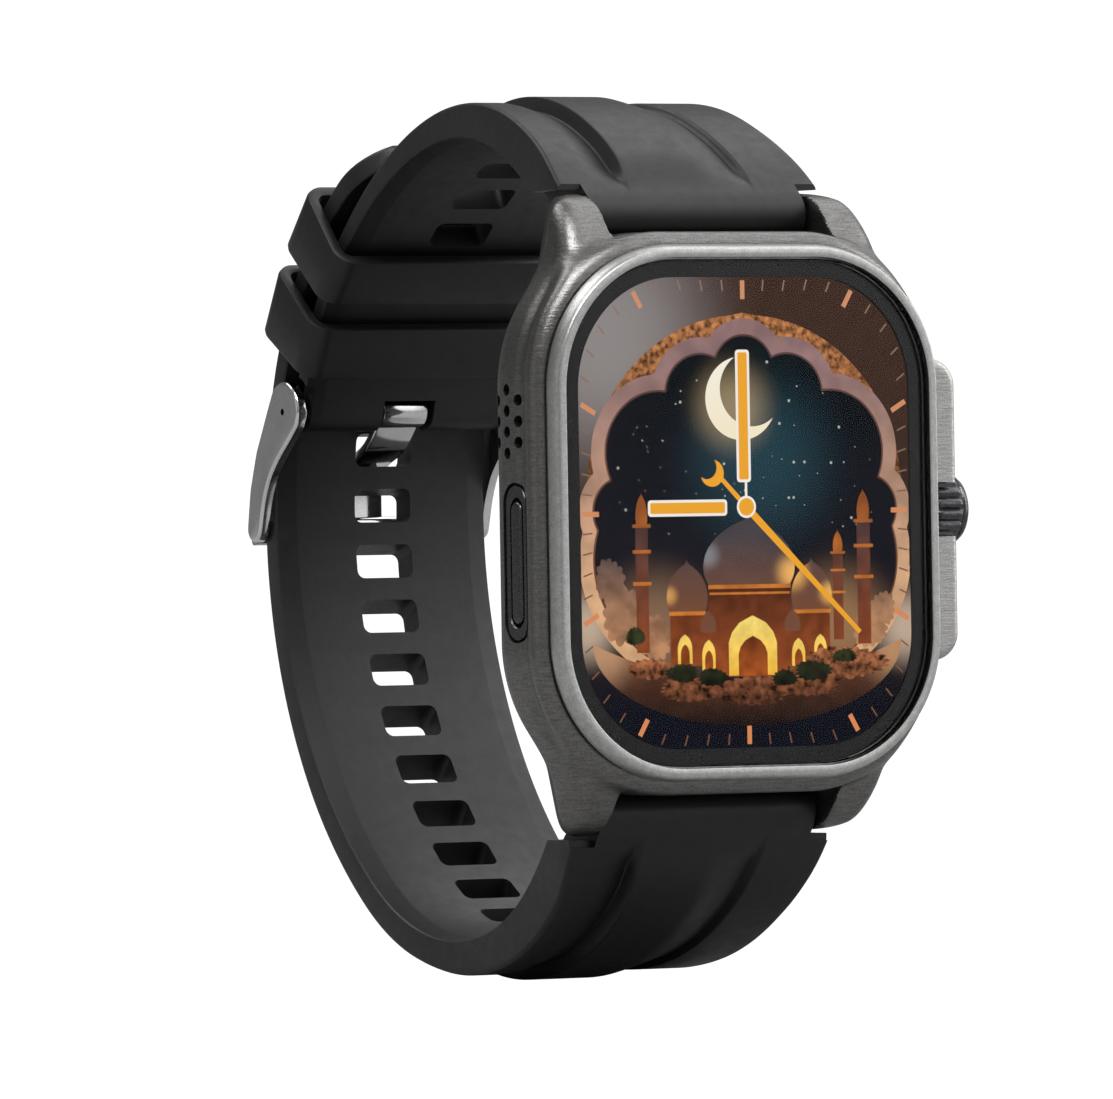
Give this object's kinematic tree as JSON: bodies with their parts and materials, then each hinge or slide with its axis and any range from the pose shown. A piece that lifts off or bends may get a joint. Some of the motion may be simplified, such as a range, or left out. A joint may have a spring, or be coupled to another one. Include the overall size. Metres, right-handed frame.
{
  "type": "smartwatch",
  "caption": "Wrist-worn smartwatch with a rounded-rectangle screen in a metal case, ribbed crown, side button and a buckled two-piece silicone strap with loose keepers.",
  "frame": {"origin": "centre of the cover glass's front face", "axes": "-Y out of the glass towards the viewer, +Y towards the wrist, +Z to twelve o'clock, +X to the crown side"},
  "size_m": [0.0447, 0.0681, 0.0769],
  "materials": {
    "case_metal": "gunmetal, bead blasted",
    "ring_metal": "satin",
    "polished_steel": "polished",
    "dark_steel": "dark coated",
    "silicone": "black satin silicone",
    "cover_glass": "clear, polished, dark border printed behind",
    "sensor_glass": "dark tinted, polished",
    "screen": "display stack",
    "black_plastic": "black, matt",
    "board": "solder mask",
    "gold_contact": "gold plated",
    "foil": "foil pouch and stamped tray"
  },
  "bodies": {
    "watch": {"mid_case": "case_metal", "front_ring": "ring_metal", "cover_glass": "cover_glass", "glass_gasket": "black_plastic", "display_panel": "screen", "display_frame": "foil", "display_flex": "gold_contact", "main_board": "board", "shield_can": "foil", "battery": "foil", "vibration_motor": "polished_steel", "speaker_module": "black_plastic", "speaker_mesh": "dark_steel", "crown_bush": "polished_steel", "crown_seal": "silicone", "crown_switch": "black_plastic", "button_bezel": "dark_steel", "button_switch": "black_plastic", "back_cover": "case_metal", "back_gasket": "silicone", "sensor_window": "sensor_glass", "sensor_board": "board", "charge_contact_left": "gold_contact", "charge_contact_right": "gold_contact", "case_screw_1": "dark_steel", "case_screw_2": "dark_steel", "case_screw_3": "dark_steel", "case_screw_4": "dark_steel", "strap_top": "silicone", "strap_bottom": "silicone", "lug_bar_top": "polished_steel", "lug_bar_bottom": "polished_steel", "buckle_bar": "polished_steel"},
    "crown_carrier": {"crown_washer": "polished_steel"},
    "crown": {"crown_knob": "dark_steel", "crown_stem": "polished_steel"},
    "button": {"side_button": "dark_steel", "button_clip": "polished_steel"},
    "frame": {"buckle_frame": "polished_steel"},
    "tang": {"buckle_tang": "polished_steel"},
    "upper_keeper": {"keeper_upper": "silicone"},
    "lower_keeper": {"keeper_lower": "silicone"},
    "top_left_tip": {"lug_bar_top_tip_left": "polished_steel"},
    "top_right_tip": {"lug_bar_top_tip_right": "polished_steel"},
    "bottom_left_tip": {"lug_bar_bottom_tip_left": "polished_steel"},
    "bottom_right_tip": {"lug_bar_bottom_tip_right": "polished_steel"}
  },
  "joints": [
    {"name": "crown_press", "type": "slide", "parent": "watch", "child": "crown_carrier", "axis": [-1, 0, 0], "range_m": [0, 0.0004]},
    {"name": "crown_turn", "type": "hinge", "parent": "crown_carrier", "child": "crown", "pos_m": [0.0209, 0.0065, 0], "axis": [1, 0, 0], "continuous": true},
    {"name": "button_press", "type": "slide", "parent": "watch", "child": "button", "axis": [1, 0, 0], "range_m": [0, 0.0003]},
    {"name": "buckle_hinge", "type": "hinge", "parent": "watch", "child": "frame", "pos_m": [0, 0.0604, 0.00972], "axis": [1, 0, 0], "range_deg": [0, 5]},
    {"name": "tang_hinge", "type": "hinge", "parent": "watch", "child": "tang", "pos_m": [0, 0.0604, 0.00972], "axis": [1, 0, 0], "range_deg": [0, 5]},
    {"name": "upper_keeper_slide", "type": "hinge", "parent": "watch", "child": "upper_keeper", "pos_m": [0, 0.02688, 0.00036], "axis": [1, 0, 0], "range_deg": [-1.5, 3]},
    {"name": "lower_keeper_slide", "type": "hinge", "parent": "watch", "child": "lower_keeper", "pos_m": [0, 0.02688, 0.00036], "axis": [1, 0, 0], "range_deg": [-1, 1]},
    {"name": "top_left_tip_slide", "type": "slide", "parent": "watch", "child": "top_left_tip", "axis": [1, 0, 0], "range_m": [0, 0.0013]},
    {"name": "top_right_tip_slide", "type": "slide", "parent": "watch", "child": "top_right_tip", "axis": [-1, 0, 0], "range_m": [0, 0.0013]},
    {"name": "bottom_left_tip_slide", "type": "slide", "parent": "watch", "child": "bottom_left_tip", "axis": [1, 0, 0], "range_m": [0, 0.0013]},
    {"name": "bottom_right_tip_slide", "type": "slide", "parent": "watch", "child": "bottom_right_tip", "axis": [-1, 0, 0], "range_m": [0, 0.0013]}
  ],
  "couplings": [
    {"joint": "tang_hinge", "follows": "buckle_hinge", "ratio": 1}
  ]
}
